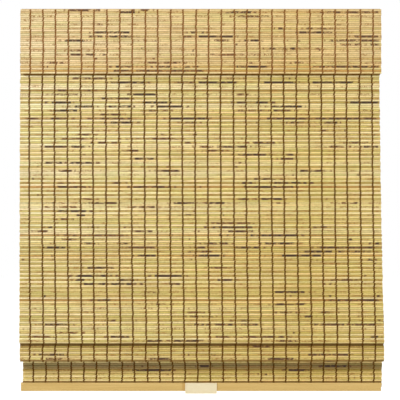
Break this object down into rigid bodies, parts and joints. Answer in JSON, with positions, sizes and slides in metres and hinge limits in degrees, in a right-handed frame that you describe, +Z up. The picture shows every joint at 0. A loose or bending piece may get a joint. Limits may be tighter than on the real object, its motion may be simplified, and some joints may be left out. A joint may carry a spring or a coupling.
{
  "type": "bamboo roman shade",
  "caption": "Woven bamboo roman shade with a straight valance, two gathered folds, a flat bottom rail and a moulded pull handle.",
  "frame": {"origin": "middle of the four wall screw holes of the two brackets, on the wall's plane", "axes": "+X along the shade to the right as seen from the room, +Y into the wall, +Z up"},
  "size_m": [0.69, 0.0675, 0.7351],
  "materials": {
    "bamboo_mat": "satin split bamboo",
    "warp_thread": "matte cotton thread",
    "bamboo_rail": "satin bamboo batten",
    "headrail_wood": "sanded softwood",
    "handle_plastic": "satin cream plastic",
    "white_plastic": "satin moulded plastic",
    "ring_plastic": "translucent ivory plastic",
    "zinc_steel": "zinc plated",
    "painted_steel": "powder coated",
    "spring_steel": "blued spring band",
    "screw_steel": "zinc plated"
  },
  "bodies": {
    "head": {"headrail_board": "headrail_wood", "valance_batten": "headrail_wood", "head_staples": "screw_steel", "batten_brads": "screw_steel", "valance_mat": "bamboo_mat", "valance_threads": "warp_thread", "main_mat": "bamboo_mat", "main_threads": "warp_thread", "wall_bracket_left": "zinc_steel", "wall_bracket_right": "zinc_steel", "bracket_screws": "screw_steel", "lift_channel": "painted_steel", "channel_screws": "screw_steel", "channel_cap_left": "white_plastic", "channel_cap_right": "white_plastic", "cord_grommet_left": "white_plastic", "cord_grommet_right": "white_plastic", "spool_cradle_left": "white_plastic", "spool_cradle_right": "white_plastic", "motor_housing": "white_plastic", "motor_cover": "white_plastic", "storage_pin": "zinc_steel", "spring_band": "spring_steel"},
    "lift_shaft_group": {"lift_shaft": "zinc_steel", "spool_left": "white_plastic", "spool_right": "white_plastic", "drive_drum": "white_plastic"},
    "storage_drum_group": {"storage_drum": "white_plastic"},
    "ring_row_1_group": {"ring_row_1": "ring_plastic"},
    "ring_row_2_group": {"ring_row_2": "ring_plastic"},
    "ring_row_3_group": {"ring_row_3": "ring_plastic"},
    "rail": {"rail_front": "bamboo_rail", "rail_back": "bamboo_rail", "rail_pins": "screw_steel", "pull_handle": "handle_plastic", "cord_anchor_left": "ring_plastic", "cord_anchor_right": "ring_plastic", "crest_rings_upper": "ring_plastic", "crest_rings_lower": "ring_plastic"}
  },
  "joints": [
    {"name": "rail_lift", "type": "slide", "parent": "head", "child": "rail", "axis": [0, 0.0401, 0.9992], "range_m": [0, 0.4], "deforming": ["main_mat", "main_threads"]},
    {"name": "lift_shaft_turn", "type": "hinge", "parent": "head", "child": "lift_shaft_group", "pos_m": [0, -0.026, 0.0095], "axis": [1, 0, 0], "range_deg": [-3277.32, 0]},
    {"name": "storage_drum_turn", "type": "hinge", "parent": "head", "child": "storage_drum_group", "pos_m": [0, -0.0125, 0.0095], "axis": [1, 0, 0], "range_deg": [0, 2773.12], "deforming": ["spring_band"]},
    {"name": "ring_row_1_rise", "type": "slide", "parent": "head", "child": "ring_row_1_group", "axis": [0, 0.0401, 0.9992], "range_m": [0, 0.13132]},
    {"name": "ring_row_2_rise", "type": "slide", "parent": "head", "child": "ring_row_2_group", "axis": [0, 0.0401, 0.9992], "range_m": [0, 0.23698]},
    {"name": "ring_row_3_rise", "type": "slide", "parent": "head", "child": "ring_row_3_group", "axis": [0, 0.0401, 0.9992], "range_m": [0, 0.34264]}
  ],
  "couplings": [
    {"joint": "lift_shaft_turn", "follows": "rail_lift", "rad_per_m": -142.86},
    {"joint": "storage_drum_turn", "follows": "rail_lift", "rad_per_m": 120.88},
    {"joint": "ring_row_1_rise", "follows": "rail_lift", "ratio": 0.32704},
    {"joint": "ring_row_2_rise", "follows": "rail_lift", "ratio": 0.59119},
    {"joint": "ring_row_3_rise", "follows": "rail_lift", "ratio": 0.85535}
  ]
}
